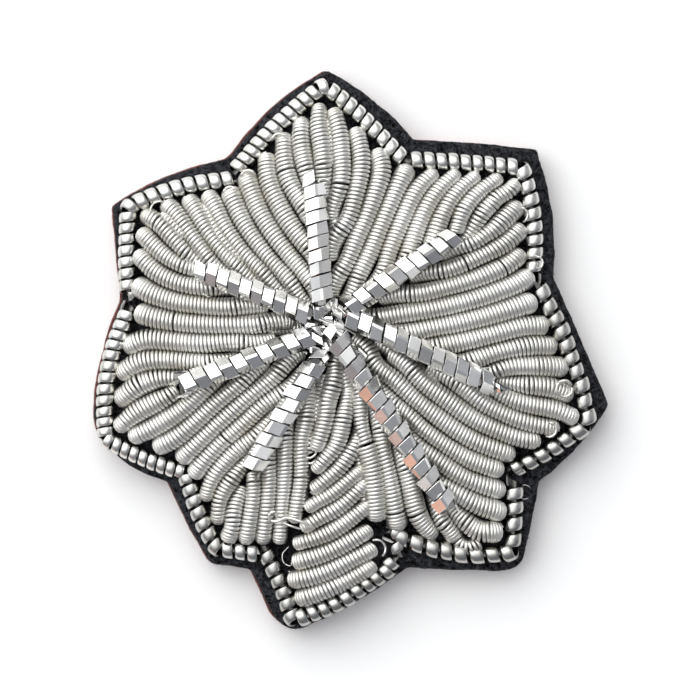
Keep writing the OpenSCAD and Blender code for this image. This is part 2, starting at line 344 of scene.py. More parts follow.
rust_cloth = cloth_material("rust_cloth", (0.10, 0.025, 0.02), (0.34, 0.13, 0.10), 5200, 0.25)
under_cloth = cut_cloth("under_cloth", "backing_cloth", rust_cloth,
                        ((0, 0.04), (0.25, 0), (0.75, 0), (1, 0.05)), 0.05, 3)
under_cloth.data.transform(Matrix.Translation((-0.03 * mm, 0.08 * mm, 0)))
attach(under_cloth, "root")
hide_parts("backing_cloth")
under_fuzz = fuzz("under_fuzz", "backing_cloth", rust_cloth, 500, (0.1, 0.3), (0.005, 0.01), 0.0, 0.0, 11)
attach(under_fuzz, "root")


# Felt ground
# Near-black felt, about a millimetre thick, that everything is sewn to. It is cut by hand round the finished
# leaf, so its rim is a little uneven and grey fibres stand up from it.
black_felt = cloth_material("black_felt", (0.0, 0.0, 0.0005), (0.085, 0.088, 0.10), 4200, 0.0)
felt = cut_cloth("felt", "felt_ground", black_felt,
                 ((0, 0.02), (0.2, 0), (0.55, 0.01), (0.8, 0.03), (0.95, 0.09), (1, 0.2)), 0.07, 8)
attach(felt, "root")
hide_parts("felt_ground")
felt_fibre = cloth_material("felt_fibre", (0.006, 0.006, 0.008), (0.22, 0.225, 0.24), 1500, 0.05)
felt_fuzz = fuzz("felt_fuzz", "felt_ground", felt_fibre, 4600, (0.15, 0.6), (0.006, 0.017), 0.9, 2.1, 21)
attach(felt_fuzz, "root")


# Padding
# Layers of grey felt stitched down in the middle of the ground, each smaller than the one below it, which
# give the leaf its domed relief. Only slits of it show between the lengths of purl.
grey_felt = cloth_material("grey_felt", (0.003, 0.003, 0.004), (0.022, 0.022, 0.024), 4800, 0.02)
padding = bpy.data.objects.new("padding_felt", cad["padding"].data.copy())
bpy.context.scene.collection.objects.link(padding)
broad_lumps, fine_lumps, sunk = 700, 2600, 0.04
work = cad_mesh("padding")
bmesh.ops.subdivide_edges(work, edges=work.edges[:], cuts=3, use_grid_fill=True)
for v in work.verts:
    lump = noise.noise(v.co * broad_lumps) * 0.05 + noise.noise(v.co * fine_lumps) * 0.02
    v.co += v.normal * (lump - sunk) * mm
work.to_mesh(padding.data)
work.free()
padding.data.materials.clear()
padding.data.materials.append(grey_felt)
for face in padding.data.polygons:
    face.use_smooth = True
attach(padding, "root")
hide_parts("padding")


# Smooth purl fill
# Each strand is a cut length of smooth purl: fine round silver-plated wire wound into a close coil about a
# millimetre across. A thread runs through it and pulls both ends down into the padding, so they round over.
def centre_lines(node):
    """The middle lines of the lengths in a CAD node, each from its end nearest the hub to its far end."""
    rounded_end = 3  # rings of points at each rounded end
    end_edges = (4, 8)  # edges that meet in the point at the end of a square bar and of a tube
    work = cad_mesh(node)
    left = set(work.verts)
    lines = []
    while left:
        island, edge = set(), [next(iter(left))]
        while edge:
            v = edge.pop()
            if v not in island:
                island.add(v)
                edge.extend(e.other_vert(v) for e in v.link_edges)
        left -= island
        pole = min((v for v in island if len(v.link_edges) in end_edges), key=lambda v: v.index)
        level, done, line = {pole}, {pole}, []
        while level:
            ring = sorted(level, key=lambda v: v.index)
            line.append(sum((v.co for v in ring), Vector()) / len(ring))
            level = {e.other_vert(v) for v in ring for e in v.link_edges} - done
            done |= level
        if line[0].xy.length > line[-1].xy.length:
            line.reverse()
        if len(line) > 2 * rounded_end:
            line = [line[0]] + line[rounded_end:-rounded_end] + [line[-1]]
        lines.append((min(v.index for v in island), line))
    work.free()
    return [line for _, line in sorted(lines, key=lambda item: item[0])]


def smooth_line(points, step):
    """A smooth curve through the points, as points in equal steps."""
    ends = [points[0] * 2 - points[1]] + points + [points[-1] * 2 - points[-2]]
    fine = []
    for a, b, c, d in zip(ends, ends[1:], ends[2:], ends[3:]):
        n = max(4, int((c - b).length / (step * 0.5)))
        for k in range(n):
            t = k / n
            fine.append(0.5 * (2 * b + (c - a) * t + (2 * a - 5 * b + 4 * c - d) * t * t
                               + (3 * b - a - 3 * c + d) * t ** 3))
    fine.append(points[-1])
    out, walked = [fine[0]], 0.0
    for a, b in zip(fine, fine[1:]):
        length = (b - a).length
        while length > 0 and walked + length >= step * len(out):
            out.append(a.lerp(b, (step * len(out) - walked) / length))
        walked += length
    return out


class Line:
    """A middle line whose two ends turn down, each by its own angle. start and end are the distances along it
    where the turned ends begin, low and high those where they stop."""

    def __init__(self, points, radius, root_turn, tip_turn, bend=0.34 * mm):
        self.step = 0.04 * mm
        self.points = smooth_line(points, self.step)
        self.bend = bend
        whole = self.step * (len(self.points) - 1)
        longest_end = whole * 0.35
        self.radius = radius if callable(radius) else lambda s: radius
        self.start = min((bend + self.radius(0)) * math.sin(root_turn), longest_end)
        self.end = whole - min((bend + self.radius(whole)) * math.sin(tip_turn), longest_end)
        self.low = self.start - bend * root_turn
        self.high = self.end + bend * tip_turn

    def at(self, s):
        """Place, direction, side and up at the distance s along the line."""
        ahead, behind = 4, 3
        inner = min(max(s, self.start), self.end) / self.step
        i = min(int(inner), len(self.points) - 2)
        before = self.points[max(i - behind, 0)]
        after = self.points[min(i + ahead, len(self.points) - 1)]
        along = (after - before).normalized()
        side = Vector((0, 0, 1)).cross(along).normalized()
        up = along.cross(side)
        place = self.points[i].lerp(self.points[i + 1], inner - i)
        if s > self.end:
            turn = (s - self.end) / self.bend
            place = place + (along * math.sin(turn) - up * (1 - math.cos(turn))) * self.bend
            along, up = (along * math.cos(turn) - up * math.sin(turn),
                         up * math.cos(turn) + along * math.sin(turn))
        if s < self.start:
            turn = (self.start - s) / self.bend
            place = place - (along * math.sin(turn) + up * (1 - math.cos(turn))) * self.bend
            along, up = (along * math.cos(turn) + up * math.sin(turn),
                         up * math.cos(turn) - along * math.sin(turn))
        return place, along, side, up

    def squeeze(self, s):
        """How much closer the turns lie on the middle line where the end turns down."""
        return self.bend / (self.bend + self.radius(s)) if s > self.end or s < self.start else 1.0


def half_round(width, height, points):
    """The section of a wire that is round outside, from one edge over the crown to the other: how far out,
    how far along and how deep in the groove each point lies. The depth sets how much of the darker groove
    colour the point gets, partly tarnish and partly painted shade between the turns."""
    out = []
    for k in range(points):
        a = math.pi * (k / (points - 1) - 0.5)
        out.append((height * math.cos(a) - height, width / 2 * math.sin(a), (1 - math.cos(a)) ** 1.5))
    return out


def wound(skin, line, pitch, section, steps, start_turn, joints=(), wobble=0.0, seed=0.0, square=0.0,
          spread=None):
    """A wire of the given section wound round a line, added to skin, which is (verts, faces, groove
    darkening), the last being the share of tarnish and painted shade at each point.
    pitch(s) is the length of a turn and steps its number of points. At each joint one cut length ends, at the
    underside, and the next begins after a gap. square is how far the turns lie square to the line on top.
    spread is the pitch at which the section has its own width, if it widens with the pitch."""
    verts, faces, groove_darkening = skin
    swell_waves, sway_waves, sway = 1400, 500, 1.5
    underside, joint_gap = -0.9, 0.3
    rings = []
    s, turn = line.low, start_turn
    waiting = sorted(joints)
    while s < line.high:
        angle = turn * 2 * math.pi
        place, along, side, up = line.at(s + pitch(s) * square * math.cos(angle) / (2 * math.pi))
        radius = line.radius(s)
        grow = 1 + wobble * noise.noise(Vector((seed, s * swell_waves, 0.5)))
        shift = side * noise.noise(Vector((s * sway_waves, seed, 7.7))) * wobble * radius * sway
        out = side * math.cos(angle) + up * math.sin(angle)
        wide = pitch(s) / spread if spread else 1
        rings.append([place + shift + out * (radius * grow + h) + along * w * wide for h, w, _ in section])
        s += pitch(s) * line.squeeze(s) / steps
        turn += 1 / steps
        if waiting and s > waiting[0] and math.sin(angle) < underside:
            add_sweep(verts, faces, rings)
            groove_darkening.extend(d for _ in rings for _, _, d in section)
            rings = []
            s += pitch(s) * joint_gap
            waiting.pop(0)
    if len(rings) > 1:
        add_sweep(verts, faces, rings)
        groove_darkening.extend(d for _ in rings for _, _, d in section)


def silver(name, bright, tarnish_and_shade, rough, grain, depth):
    """Silver plate: bright on the crowns and darker in the grooves, partly tarnish and partly painted shade,
    with faint clouds and uneven polish.
    """
    material, tree, skin = new_material(name)
    skin.inputs["Metallic"].default_value = 1.0
    cloud = texture(tree, "ShaderNodeTexNoise", 420)
    cloud.inputs["Detail"].default_value = 4
    clouded = [part * share for part, share in zip(bright, (0.86, 0.85, 0.82))]
    tint = shades(tree, ((0.35, clouded), (0.6, bright)))
    tree.links.new(cloud.outputs["Fac"], tint.inputs["Fac"])
    # the groove share mixes the colour toward the darker one given: partly tarnish, partly painted shade in
    # the grooves between turns
    groove = tree.nodes.new("ShaderNodeAttribute")
    groove.attribute_name = "groove"
    blend = tree.nodes.new("ShaderNodeMix")
    blend.data_type = "RGBA"
    tree.links.new(groove.outputs["Fac"], blend.inputs["Factor"])
    tree.links.new(tint.outputs["Color"], blend.inputs["A"])
    blend.inputs["B"].default_value = (*tarnish_and_shade, 1)
    tree.links.new(blend.outputs["Result"], skin.inputs["Base Color"])
    fine = texture(tree, "ShaderNodeTexNoise", grain)
    fine.inputs["Detail"].default_value = 5
    polish = tree.nodes.new("ShaderNodeMapRange")
    polish.inputs["To Min"].default_value = rough[0]
    polish.inputs["To Max"].default_value = rough[1]
    tree.links.new(fine.outputs["Fac"], polish.inputs["Value"])
    tree.links.new(polish.outputs["Result"], skin.inputs["Roughness"])
    raise_grain(tree, fine.outputs["Fac"], 0.3, depth)
    return material


def metal_piece(name, skin, material, sharp, node=None):
    """A piece of coiled wire from its skin, with sharp edges where it turns by more than sharp degrees."""
    verts, faces, groove_darkening = skin
    piece = new_piece(name, verts, faces, material)
    mesh = piece.data
    # stores the groove share, which the silver turns into tarnish and painted shade
    mesh.attributes.new("groove", "FLOAT", "POINT").data.foreach_set("value", groove_darkening)
    mesh.polygons.foreach_set("use_smooth", [True] * len(mesh.polygons))
    mesh.set_sharp_from_angle(angle=math.radians(sharp))
    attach(piece, "root")
    if node:
        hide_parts(node)


def line_gap(p, a, b):
    """How far a point lies from the straight line between two others."""
    t = min(1, max(0, (p - a).dot(b - a) / (b - a).length_squared))
    return (p - a.lerp(b, t)).length


# the second colour is the darker one of the grooves: tarnish and painted shade
smooth_silver = silver("smooth_silver", (0.85, 0.842, 0.818), (0.30, 0.295, 0.28), (0.35, 0.5), 9000, 0.003)
purl_wire = 0.226 * mm
purl_section = half_round(purl_wire * 0.98, 0.07 * mm, 6)
purl_points = 14
vein_nodes = sorted(name for name in cad if name.startswith("vein_"))
fill_nodes = sorted(name for name in cad if name.startswith("fill_"))
border_nodes = sorted(name for name in cad if name.startswith("border_"))
vein_lines = [centre_lines(name)[0] for name in vein_nodes]
border_lines = [line for name in border_nodes for line in centre_lines(name)]


def run_on(line):
    """A strand carried on at its root, sinking into the padding, until it is under a vein or at the hub."""
    step, most_steps, sink = 0.2, 9, -0.22
    straight, to_hub = 0.85, 0.15
    under_vein, hub = 0.25 * mm, 1.0 * mm
    out = list(line)
    ahead = (line[0] - line[1]).normalized()
    ahead.z = sink
    for _ in range(most_steps):
        p = out[0]
        gap = min(line_gap(p.xy, a.xy, b.xy) for vein in vein_lines for a, b in zip(vein, vein[1:]))
        if gap < under_vein or p.xy.length < hub:
            break
        inward = Vector((-p.x, -p.y)).normalized()
        turned = (ahead.xy * straight + inward * to_hub).normalized()
        ahead = Vector((turned.x, turned.y, ahead.z))
        out.insert(0, p + ahead * step * mm)
    added = len(out) - len(line)
    # one or two new points would kink the curve, so only the outermost is kept and the old root goes
    if added in (1, 2):
        out = [out[0]] + out[added + 1:]
    return out


def reach_out(line, others):
    """A strand lengthened at its tip until it all but touches the border or the strand in front of it."""
    from_border, from_strand, furthest = 0.42 * mm, 0.7 * mm, 0.6 * mm
    tip, ahead = line[-1], (line[-1] - line[-2]).normalized()
    gap = min(line_gap(tip.xy, a.xy, b.xy) for side in border_lines for a, b in zip(side, side[1:]))
    gaps = [line_gap(tip.xy, a.xy, b.xy) for other in others for a, b in zip(other, other[1:])]
    room = min([gap - from_border, furthest] + [gap - from_strand for gap in gaps])
    line[-1] = tip + ahead * max(room, 0)


def lengthened(line, root, tip):
    """Moves the two ends of a line outward, by so many mm."""
    line[0] = line[0] + (line[0] - line[1]).normalized() * root * mm
    line[-1] = line[-1] + (line[-1] - line[-2]).normalized() * tip * mm


def eased(line, root, middle, tip):
    """A strand moved sideways, to the left as seen from its root, by so much at its root, middle and tip."""
    chord = line[-1] - line[0]
    across = Vector((-chord.y, chord.x, 0)).normalized()
    for i, p in enumerate(line):
        t = (p - line[0]).dot(chord) / chord.length_squared
        off = root * (1 - t) * (1 - 2 * t) + middle * 4 * t * (1 - t) + tip * t * (2 * t - 1)
        line[i] = p + across * off


# how the strands of each half lobe lie beside those of the CAD: sideways at root, middle and tip, in mm
lie = {"top_left": ((0, 0.4, 0), (0, 0.3, 0), (0, 0.1, 0), (0, -0.12, -0.18)),
       "top_right": ((0, -0.25, -0.35), (0, -0.2, -0.25), (0, -0.05, -0.1), None),
       "upper_right_above": ((0, -0.1, -0.45), (0, 0.1, -0.5), (0, 0.2, -0.5), (0, 0.25, -0.52),
                             (0, 0.25, -0.5), (0, 0.2, -0.25)),
       "upper_right_below": (None, (0, 0.05, 0), (0, 0.15, 0), (0, 0.25, 0.1)),
       "right_above": (None, (0, 0.25, 0.1), (0, 0.28, 0), (0, 0.1, 0.1)),
       "right_below": ((0, -0.1, 0), (0, 0.12, 0), None, None, None),
       "lower_right_right": ((0, -0.36, 0), (0, -0.3, 0), (0, -0.2, 0), (0, -0.1, 0), None),
       "lower_right_left": ((0, -0.22, -0.35), (-0.1, -0.4, -0.25), (-0.05, -0.3, -0.15)),
       "stem_upper": (None, (0, 0.25, 0.1), (0, 0.25, 0.15)),
       "stem_lower": ((-0.28, -0.3, -0.3), (-0.5, -0.43, -0.4), (-0.2, -0.26, -0.3), (0.15, 0, 0),
                      (0.35, 0.2, 0.2), (0.25, 0.42, 0.2)),
       "lower_left_right": (None, (0, 0.1, 0), (0, 0.1, 0), (0.1, 0.1, 0), (0.2, 0.2, 0)),
       "lower_left_left": ((0, -0.25, 0), (-0.35, -0.35, 0), (-0.4, -0.3, 0)),
       "left_below": ((0, 0.1, 0), (0, 0.25, 0.1), (0, 0.2, 0.1), None),
       "left_above": ((0, 0.05, 0), (0, -0.08, 0), (0, -0.24, 0)),
       "upper_left_below": ((0, 0.05, 0.25), None, None, (0, -0.1, 0)),
       "upper_left_above": ((0, 0.4, 0), (0, 0.45, 0), (0, 0.45, 0), (0, 0.3, 0), (0, -0.1, 0.35))}
# strands that are longer or shorter than in the CAD: by how much at the root and at the tip, in mm
longer = {("stem_upper", 0): (0, 0.3), ("stem_lower", 0): (0.6, 0.2), ("stem_lower", 1): (0.75, 0.25),
          ("stem_lower", 2): (0.55, 0.3), ("stem_lower", 3): (0.25, 0), ("stem_lower", 4): (-0.2, 0),
          ("lower_left_right", 1): (0, 0.3), ("lower_right_left", 0): (0, 0.2)}
across_stem = "fill_stem_lower"
strands = {name: centre_lines(name) for name in fill_nodes}
for name, lines in strands.items():
    for line, sideways in zip(lines, lie[name.removeprefix("fill_")]):
        if sideways:
            eased(line, *(w * mm for w in sideways))
for name, lines in strands.items():
    for line in lines:
        others = [other for rest in strands.values() for other in rest if other not in lines]
        reach_out(line, others)
        if name == across_stem:
            line.reverse()
            reach_out(line, others)
            line.reverse()
for (name, k), ends in longer.items():
    lengthened(strands["fill_" + name][k], *ends)
strands = {name: lines if name == across_stem else [run_on(line) for line in lines]
           for name, lines in strands.items()}


def way_along(line, i):
    """The direction of a line at one of its points, as seen from above, and the direction to its left."""
    along = (line[min(i + 1, len(line) - 1)] - line[i - 1]).xy.normalized()
    return along, Vector((-along.y, along.x))


def sideways_push(p, along, left, k, marks, tree):
    """How far to the left a point of strand k moves: to midway between its neighbours or, where only one side
    has a neighbour, half of the way to one coil's width from it."""
    beside, crossing, abreast, width = 2.0 * mm, 0.3 * mm, 0.4, 1.15 * mm
    room = {1: math.inf, -1: math.inf}
    for q, j, _ in tree.find_range((p.x, p.y, 0), beside):
        off = q.xy - p
        aside = off.dot(left)
        if marks[j][1] != k and abs(aside) > crossing and abs(off.dot(along)) < abreast * abs(aside):
            way = 1 if aside > 0 else -1
            room[way] = min(room[way], abs(aside))
    if max(room.values()) < beside:
        return (room[1] - room[-1]) / 2
    if min(room.values()) < beside:
        way = 1 if room[1] < room[-1] else -1
        return way * (room[way] - width) * 0.5
    return 0.0


def settle(lines, fixed, rounds):
    """Moves strands sideways until each lies midway between its neighbours, the way they push each other into
    place when they are sewn down side by side. The fixed lines stay, and so do the roots."""
    station, mark, furthest = 0.5 * mm, 0.2 * mm, 0.36 * mm
    root_hold, smoothings, part = 4, 5, 0.7
    lines = [smooth_line(line, station) + [line[-1]] for line in lines]
    first = [[p.copy() for p in line] for line in lines]
    fixed_marks = [(q.xy, -1) for line in fixed for q in smooth_line(line, mark)]
    for _ in range(rounds):
        marks = fixed_marks + [(q.xy, k) for k, line in enumerate(lines) for q in smooth_line(line, mark)]
        tree = KDTree(len(marks))
        for i, (q, _) in enumerate(marks):
            tree.insert((q.x, q.y, 0), i)
        tree.balance()
        for k, line in enumerate(lines):
            pushes = [0.0] + [sideways_push(line[i].xy, *way_along(line, i), k, marks, tree)
                              for i in range(1, len(line))]
            pushes = [push * min(1, i / root_hold) for i, push in enumerate(pushes)]
            for _ in range(smoothings):
                pushes = [(pushes[max(0, i - 1)] + 2 * push + pushes[min(len(pushes) - 1, i + 1)]) / 4
                          for i, push in enumerate(pushes)]
            for i in range(1, len(line)):
                moved = line[i].xy + way_along(line, i)[1] * pushes[i] * part
                off = moved - first[k][i].xy
                if off.length > furthest:
                    moved = first[k][i].xy + off.normalized() * furthest
                line[i] = Vector((moved.x, moved.y, line[i].z))
    return lines


every_strand = settle([line for lines in strands.values() for line in lines], border_lines, 4)
rest = iter(every_strand)
strands = {name: [next(rest) for _ in lines] for name, lines in strands.items()}


def fitted_radius(line):
    """Radius along a strand that fills the room beside its neighbours, as a function of the distance."""
    station, thinnest, thickest, share = 0.5 * mm, 0.45 * mm, 0.67 * mm, 0.535
    others = [other for other in every_strand if other is not line]
    room = []
    for p in smooth_line(line, station):
        near = min(line_gap(p, a, b) for other in others for a, b in zip(other, other[1:]))
        room.append(min(thickest, max(thinnest, near * share)))
    around = [room[max(0, i - 1): i + 2] for i in range(len(room))]
    even = [sum(few) / len(few) for few in around]

    just_before_last = len(even) - 1.001

    def radius(s):
        i = min(max(s / station, 0), just_before_last)
        return even[int(i)] * (1 - i % 1) + even[int(i) + 1] * (i % 1)
    return radius


def purl_coil(skin, path, pitch, seed, start_turn, wobble, joints=()):
    """A close coil of purl wire along a path, with turns that are a little uneven in length."""
    uneven, waves = 0.06, 900

    def turn_length(s):
        return pitch * (1 + uneven * noise.noise(Vector((s * waves, seed, 1.5))))

    wound(skin, path, turn_length, purl_section, purl_points, start_turn, joints, wobble, seed)


# places on the leaf where one cut length of purl ends on its strand and the next begins, x and y in mm
joint_places = ((-2.4, 8.8), (0.6, 8.0), (-10.0, 5.5), (7.9, 3.3), (4.1, -11.1), (5.1, -11.2), (2.3, -7.1),
                (-6.3, -6.6), (-2.1, -9.0), (-8.9, 0.3), (10.0, 3.0))
strand_joints = {}
step = 0.2 * mm
for x, y in joint_places:
    near = [((p.xy - Vector((x, y)) * mm).length, name, k, i)
            for name in fill_nodes for k, line in enumerate(strands[name])
            for i, p in enumerate(smooth_line(line, step))]
    _, name, k, i = min(near)
    strand_joints.setdefault((name, k), []).append(i * step)
# the one strand whose second length is thicker purl than its first
thick_strand = ("fill_lower_right_left", 0)


def thicker_after(joint):
    """Radius along that strand, as a function of the distance."""
    thin, thick, change = 0.47, 0.68, 0.2 * mm
    return lambda s: (thin + (thick - thin) * min(1, max(0, s - joint) / change)) * mm


for node in fill_nodes:
    pick = random.Random(node)
    skin = ([], [], [])
    for k, line in enumerate(strands[node]):
        joints = strand_joints.get((node, k), [])
        radius = thicker_after(joints[0]) if (node, k) == thick_strand else fitted_radius(line)
        root_turn, tip_turn = (58, 58) if node == across_stem else (35, pick.uniform(50, 64))
        path = Line(line, radius, math.radians(root_turn), math.radians(tip_turn))
        seed = pick.uniform(0, 50)
        pitch = purl_wire * pick.uniform(0.97, 1.03)
        purl_coil(skin, path, pitch, seed, pick.random(), 0.02, joints)
    metal_piece("purl_" + node.removeprefix("fill_"), skin, smooth_silver, 60, node)


# Border
# Pearl purl: half-round wire wound into a stiff open coil that looks like a row of beads. One length follows
# both sides of each lobe, is bent sharply at its tip and couched down, and meets the next one in the notch.
def round_the_tip(lines):
    """The sides of a lobe made into one line through the corners between them, anticlockwise."""
    corner_cut = 0.35
    lines = [list(line) for line in lines]
    chain = lines.pop(0)
    while lines:
        joins = [((a - b).length, i, flip_chain, flip_line)
                 for i, line in enumerate(lines)
                 for flip_chain, a in ((False, chain[-1]), (True, chain[0]))
                 for flip_line, b in ((False, line[0]), (True, line[-1]))]
        _, i, flip_chain, flip_line = min(joins)
        other = lines.pop(i)
        if flip_chain:
            chain.reverse()
        if flip_line:
            other.reverse()
        a, b = chain[-1], other[0]
        u, v = (a - chain[-2]).xy.normalized(), (b - other[1]).xy.normalized()
        cross = u.x * v.y - u.y * v.x
        reach = ((b - a).x * v.y - (b - a).y * v.x) / cross
        corner = a + Vector((u.x, u.y, 0)) * reach
        inward = ((a + b) / 2 - corner) * corner_cut
        chain = chain + [corner + inward] + other
    turning = sum(p.x * q.y - p.y * q.x for p, q in zip(chain, chain[1:]))
    return chain if turning > 0 else chain[::-1]


# the section of the wire: how far out and how far along in mm, and how deep in the groove each point lies,
# which sets its share of tarnish and painted shade
bead_section = [(h * mm, w * mm, d) for h, w, d in
                ((-0.17, -0.295, 1), (-0.08, -0.29, 0.5), (-0.025, -0.25, 0.1), (0, -0.13, 0), (0.008, 0, 0),
                 (0, 0.13, 0), (-0.025, 0.25, 0.1), (-0.08, 0.29, 0.5), (-0.17, 0.295, 1))]
bead_radius = 0.54 * mm
bead_points = 24
into_notch = 0.5
waves = 500
bead_silver = {}
# by lobe: length of a turn on its first and its second side, anticlockwise, and the length of turn at which
# the wire has its plain width, all in mm, how bright the silver is, which is painted shade that darkens the
# lobes at the right and at the bottom, where they face away from the light, and how uneven the turns are
bead_make = {"top": (0.70, 0.61, 0.67, 0.96, 0.04), "upper_left": (0.74, 0.69, 0.67, 0.86, 0.04),
             "left": (0.64, 0.58, 0.67, 0.84, 0.04), "lower_left": (0.70, 0.74, 0.71, 0.64, 0.06),
             "stem": (0.74, 0.70, 0.72, 0.54, 0.1), "lower_right": (0.84, 0.86, 0.72, 0.58, 0.13),
             "right": (0.84, 0.82, 0.72, 0.58, 0.13), "upper_right": (0.84, 0.74, 0.70, 0.76, 0.09)}
for node in border_nodes:
    lobe = node.removeprefix("border_")
    pick = random.Random(node)
    chain = round_the_tip(centre_lines(node))
    lengthened(chain, into_notch, into_notch)
    path = Line(chain, bead_radius, 0.1, 0.1)
    first, second, plain, bright, uneven = bead_make[lobe]
    # each lobe gets its own copy of the silver, with the brightness share as painted shade; its second colour
    # is the tarnish and painted shade of the grooves
    bead_silver[lobe] = silver("bead_silver_" + lobe, (0.92 * bright, 0.915 * bright, 0.89 * bright),
                               (0.12, 0.117, 0.112), (0.16, 0.32), 7000, 0.003)
    seed = pick.uniform(0, 50)

    def turn_length(s):
        usual = first if s < path.high / 2 else second
        return usual * mm * (1 + 2.5 * uneven * noise.noise(Vector((s * waves, seed, 3.5))))

    skin = ([], [], [])
    wound(skin, path, turn_length, bead_section, bead_points, pick.random(), wobble=uneven, seed=seed,
          square=0.5, spread=plain * mm)
    metal_piece("pearl_" + lobe, skin, bead_silver[lobe], 60, node)
# cut turns left over at the notches: the two ends, x and y in mm
cut_turns = (((3.55, -12.3), (4.35, -12.75)), ((3.3, -14.5), (3.9, -14.0)), ((3.8, -13.05), (4.15, -13.75)),
             ((10.75, -8.75), (11.3, -8.45)))
border_height = sum(line[0].z for line in border_lines) / len(border_lines)
usual_turn = 0.72 * mm
pick = random.Random(12)
skin = ([], [], [])
for places in cut_turns:
    a, b = (Vector((x * mm, y * mm, border_height)) for x, y in places)
    path = Line([a, a.lerp(b, 0.5), b], bead_radius * 0.95, 0.05, 0.05)
    whole = path.high - path.low
    pitch = whole / max(1, round(whole / usual_turn))
    wound(skin, path, lambda s: pitch, bead_section, bead_points, 0.75, wobble=0.04, seed=pick.uniform(0, 50),
          square=0.5)
# the cut turns take the stem's copy of the silver, with its painted shade
metal_piece("pearl_cut_turns", skin, bead_silver["stem"], 60)


# Veins
# Bright check purl: flattened wire wound on a square needle, so that each turn has flat mirror facets, turned
# a little from those of the turn before. One length lies over the strand ends down the middle of each lobe.
# the second colour darkens the edges of each facet, where the turns meet: tarnish and painted shade
mirror_silver = silver("mirror_silver", (0.93, 0.93, 0.925), (0.2, 0.195, 0.19), (0.14, 0.26), 2200, 0.002)
# the section of the wire across a facet: how far out in mm, how far along as a share of a turn, and how deep
# in the groove each point lies, which sets its share of tarnish and painted shade
facet_section = ((-0.12, -0.43, 0.8), (-0.02, -0.465, 0.4), (0.0, -0.435, 0.0), (0.0, 0.435, 0.0),
                 (-0.02, 0.465, 0.4), (-0.12, 0.43, 0.8))


def faceted(skin, points, corner, corners, first, lean, pitch, pick, droop=(0.3, 0.3)):
    """Check purl along a line: corner is the distance from the middle to the corners of its turns and pitch
    the length of a turn, both in mm, corners their number in a turn, first where the first one points, lean
    the tilt of the facets toward the far end in degrees, and droop how far the two ends turn down."""
    corner, pitch = corner * mm, pitch * mm
    drawn_in, taper = 0.2 * corner, 0.6 * mm
    path = Line(points, corner * 0.8, *droop, bend=0.55 * mm)
    half = math.pi / corners
    bevel = math.radians(7.5)
    clipped = corner * math.cos(half) / math.cos(half - bevel)
    rings = []
    angle = first * 2 * math.pi
    s = path.low
    while s < path.high:
        tip, dent = pick.uniform(-0.04, 0.04) * mm, pick.uniform(-0.03, 0.01) * mm
        dent -= drawn_in * max(0, 1 - (s - path.low) / taper, 0.4 - (path.high - s) / taper)
        slope = math.tan(math.radians(lean + pick.uniform(-1, 1) * (8 - lean / 2)))
        for part, shift in ((bevel, tip), (2 * half - bevel, -tip)):
            place, along, side, up = path.at(s + pitch * part / (2 * math.pi))
            out = side * math.cos(angle + part) + up * math.sin(angle + part)
            rings.append([place + out * (clipped + shift + dent + (h - w * slope) * mm) + along * w * pitch
                          for h, w, _ in facet_section])
        angle += 2 * half
        s += pitch * half / math.pi
    add_sweep(skin[0], skin[1], rings)
    skin[2].extend(d for _ in rings for _, _, d in facet_section)


# by lobe: distance from the middle line to the corners in mm, corners in a turn, where the first one points,
# lean in degrees, length of a turn in mm, how far its inner end runs into the tangle at the hub in mm, and
# how far its outer end turns down
vein_make = {"top": (0.72, 4.98, 0.05, 0, 0.75, 0.75, 0.2),
             "upper_right": (0.75, 4.55, 0.11, 0, 0.76, 1.0, 0.3),
             "right": (0.75, 4.52, 0.11, 2, 0.78, 1.65, 0.3),
             "lower_right": (0.78, 4.5, 0.14, 9, 0.78, 0.9, 0.3),
             "lower_left": (0.76, 4.53, 0.167, 0, 0.80, 0.5, 0.8),
             "left": (0.75, 4.5, 0.167, 0, 0.80, 1.0, 0.3),
             "upper_left": (0.76, 4.5, 0.167, 0, 0.71, 0.9, 0.1)}
inner_droop = 0.85
for node in vein_nodes:
    lobe = node.removeprefix("vein_")
    pick = random.Random(node)
    line = centre_lines(node)[0]
    corner, corners, first, lean, pitch, inward, outer_droop = vein_make[lobe]
    line[0] = line[0] + ((line[0] - line[1]).normalized() + Vector((0, 0, -0.15))) * inward * mm
    skin = ([], [], [])
    faceted(skin, line, corner, corners, first, lean, pitch, pick, (inner_droop, outer_droop))
    metal_piece("check_" + lobe, skin, mirror_silver, 8, node)


# Hub and burst vein tips
# Short cut ends of the same check purl, pushed into the gap where the veins meet so that no padding shows
# there. At the outer ends of the left and the right vein the last turns have come apart in the same way.

